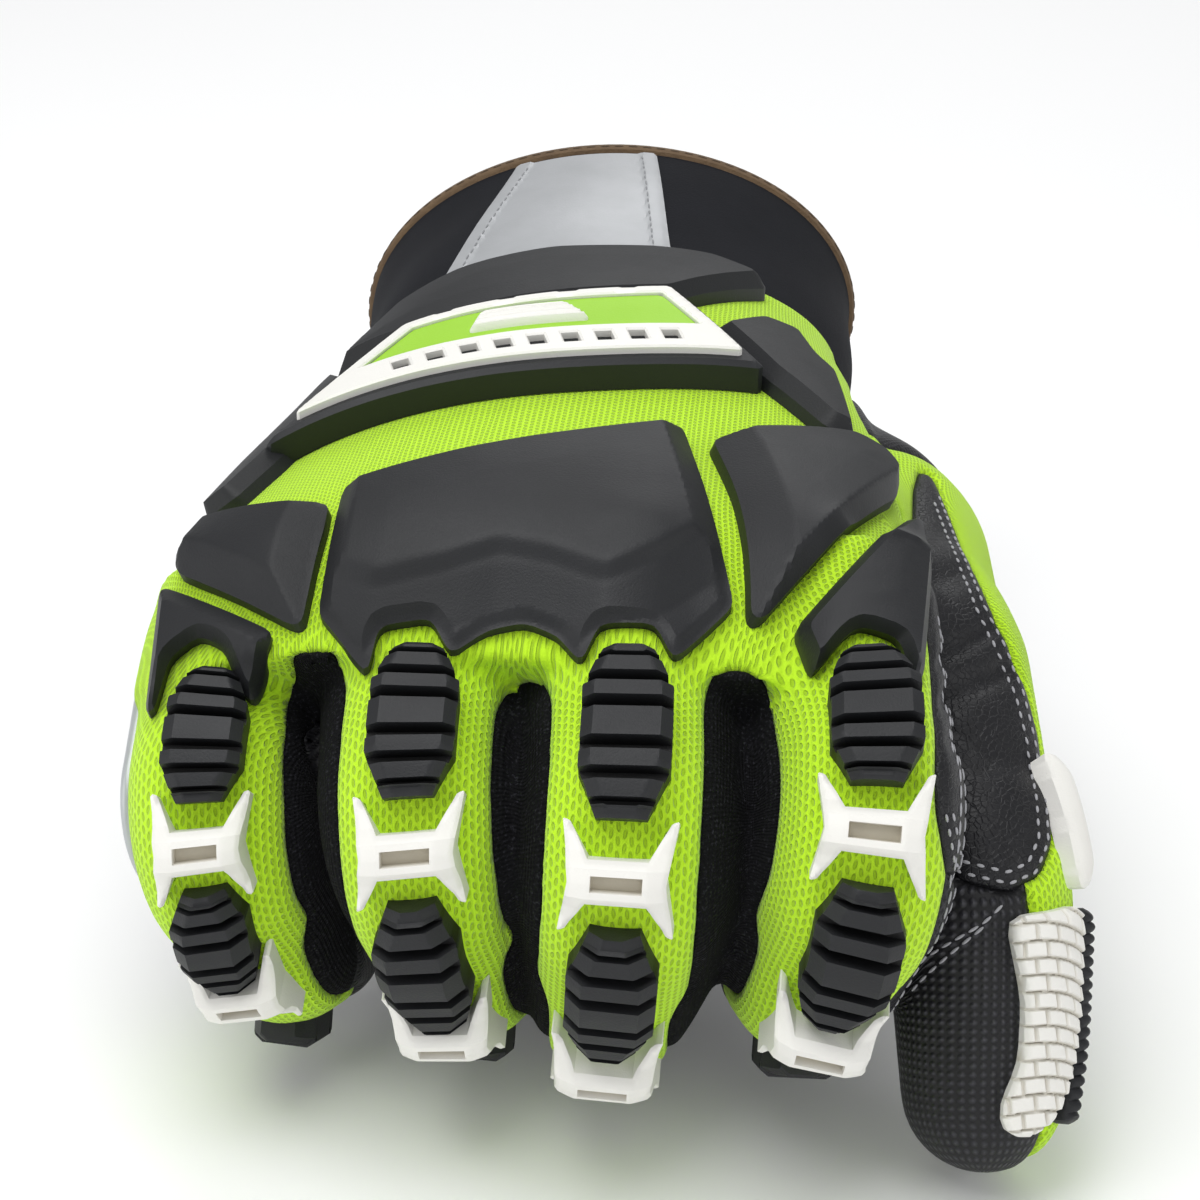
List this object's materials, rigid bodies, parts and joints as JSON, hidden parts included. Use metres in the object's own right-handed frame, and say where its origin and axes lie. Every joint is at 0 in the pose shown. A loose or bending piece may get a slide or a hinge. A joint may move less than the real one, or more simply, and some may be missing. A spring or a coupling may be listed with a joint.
{
  "type": "lined work glove",
  "caption": "Right-hand lined impact work glove in a loose fist: hollow knit and leather shell, slip-on cuff, rubber knuckle and wrist plates, ribbed finger pads, white clips, thumb guard",
  "frame": {"origin": "centre of the cuff's opening, where the wrist leaves the glove", "axes": "+Y out through the cuff along the forearm, +X towards the thumb, +Z out of the back of the hand"},
  "size_m": [0.1317, 0.1891, 0.0885],
  "materials": {
    "lime_knit": "dense mesh knit, matt",
    "black_leather": "textured synthetic leather, low sheen",
    "black_gusset": "fine black knit, matt",
    "black_neoprene": "smooth knit over foam, matt",
    "brown_binding": "folded woven edge",
    "grey_reflective": "retroreflective cloth, satin",
    "grey_trim": "silver grey thread and piping",
    "black_rubber": "fine grained, matt",
    "white_rubber": "smooth, satin",
    "green_rubber": "smooth, satin"
  },
  "bodies": {
    "root": {"thumb_crotch_patch": "black_leather", "thumb_back_panel": "lime_knit", "back_panel": "lime_knit", "fourchette_pinky_ring": "black_gusset", "fourchette_ring_middle": "black_gusset", "fourchette_middle_index": "black_gusset", "thumb_front_panel": "black_leather", "palm_panel": "black_leather", "cuff": "black_neoprene", "cuff_binding": "brown_binding", "wrist_plate": "black_rubber", "wing_thumb_side": "black_rubber", "wing_pinky_side": "black_rubber", "knuckle_plate": "black_rubber", "pinky_plate_upper": "black_rubber", "pinky_plate_lower": "black_rubber", "index_plate_upper": "black_rubber", "index_plate_lower": "black_rubber", "pinky_back_panel": "lime_knit", "pinky_front_panel": "black_leather", "ring_back_panel": "lime_knit", "ring_front_panel": "black_leather", "middle_back_panel": "lime_knit", "middle_front_panel": "black_leather", "index_back_panel": "lime_knit", "index_front_panel": "black_leather", "reflective_strip": "grey_reflective", "badge_base": "black_rubber", "badge_frame": "white_rubber", "badge_field": "green_rubber", "pinky_first_pad": "black_rubber", "pinky_knuckle_clip": "white_rubber", "pinky_second_pad": "black_rubber", "pinky_tip_clip": "white_rubber", "pinky_tip_pad": "black_rubber", "ring_first_pad": "black_rubber", "ring_knuckle_clip": "white_rubber", "ring_second_pad": "black_rubber", "ring_tip_clip": "white_rubber", "ring_tip_pad": "black_rubber", "middle_first_pad": "black_rubber", "middle_knuckle_clip": "white_rubber", "middle_second_pad": "black_rubber", "middle_tip_clip": "white_rubber", "middle_tip_pad": "black_rubber", "index_first_pad": "black_rubber", "index_knuckle_clip": "white_rubber", "index_second_pad": "black_rubber", "index_tip_clip": "white_rubber", "index_tip_pad": "black_rubber", "thumb_scale_guard": "white_rubber", "thumb_knuckle_guard": "white_rubber", "thumb_edge_strip": "black_rubber", "side_piping": "grey_trim"}
  },
  "joints": []
}
